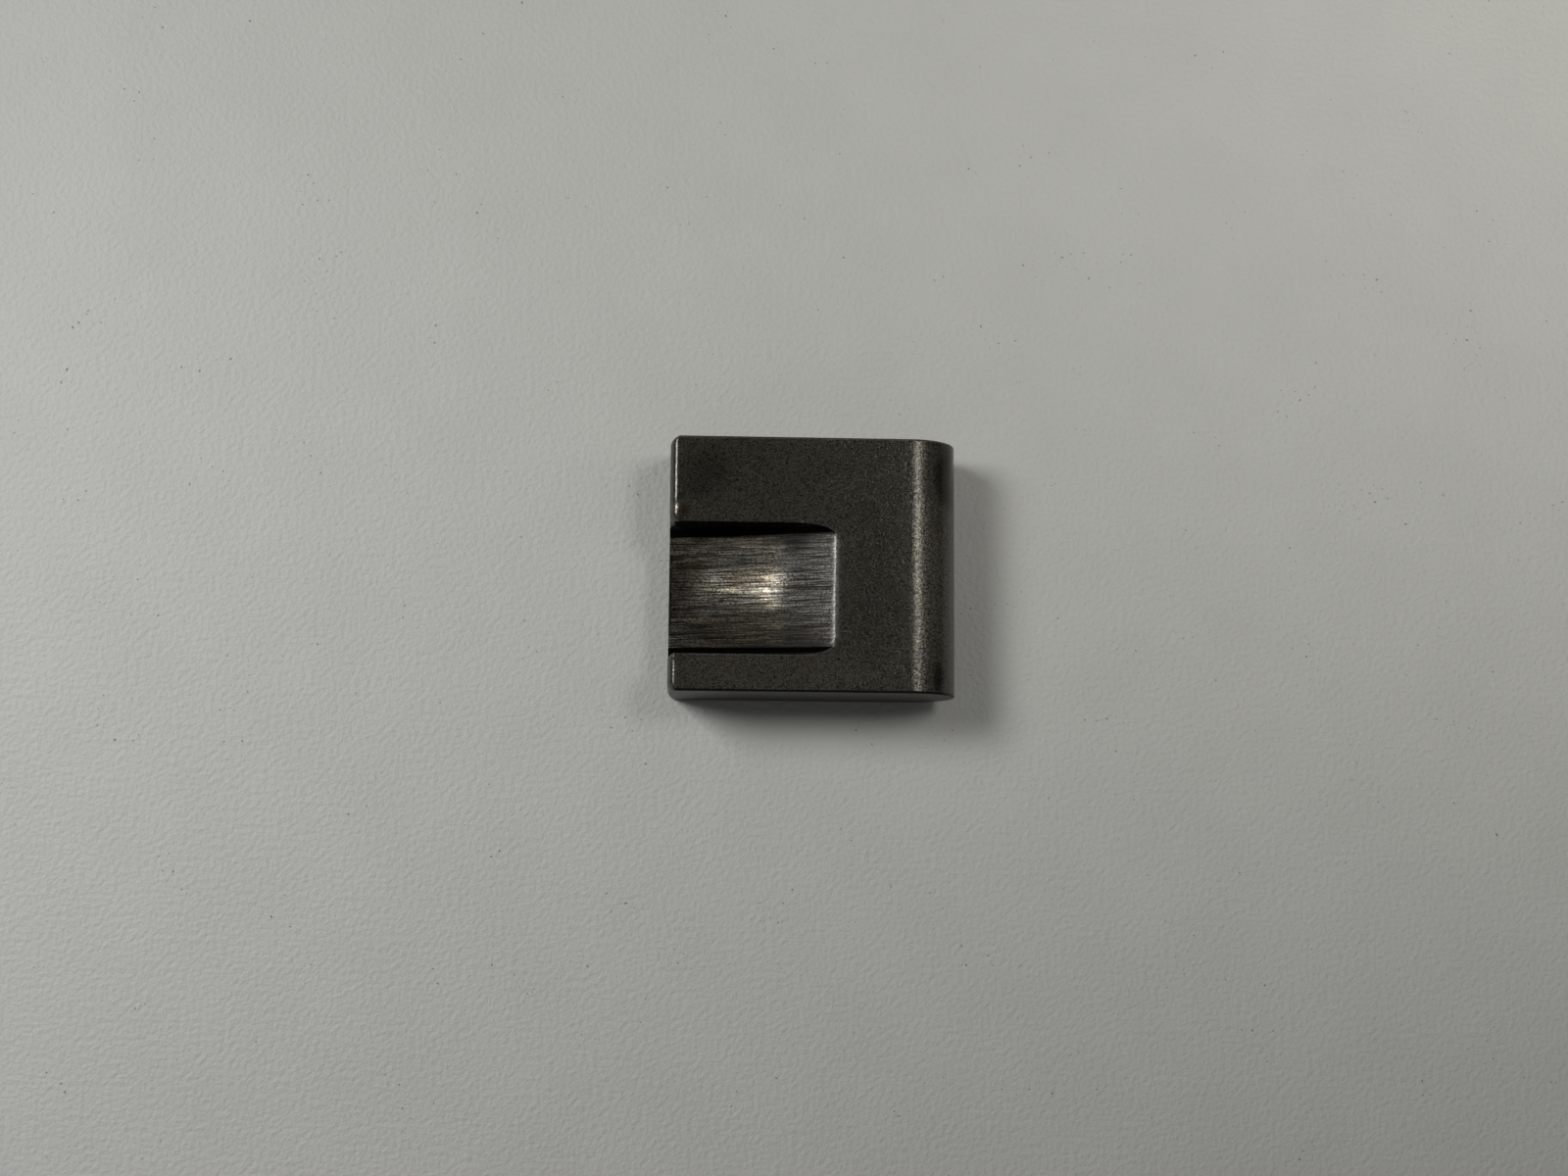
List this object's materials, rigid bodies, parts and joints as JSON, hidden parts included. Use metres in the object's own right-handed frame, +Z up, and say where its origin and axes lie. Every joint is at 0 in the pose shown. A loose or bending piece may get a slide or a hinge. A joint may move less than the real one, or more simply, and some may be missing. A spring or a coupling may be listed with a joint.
{
  "type": "slotted block",
  "caption": "Flat block with one half-round end and an off-centre ramped slot, open at the square end and running out in the top face.",
  "frame": {"origin": "middle of the underside's bounding box, on the surface the block lies on", "axes": "+X from the open, square end to the half-round end, +Y from the narrow land to the wide land beside the slot, +Z up through the slotted top face"},
  "size_m": [0.0286, 0.0254, 0.0095],
  "materials": {
    "blasted_metal": "dark grey, fine bead-blasted grain, with a smoother brownish slot floor that shows fine lines along its length"
  },
  "bodies": {
    "root": {"slotted_block": "blasted_metal"}
  },
  "joints": []
}
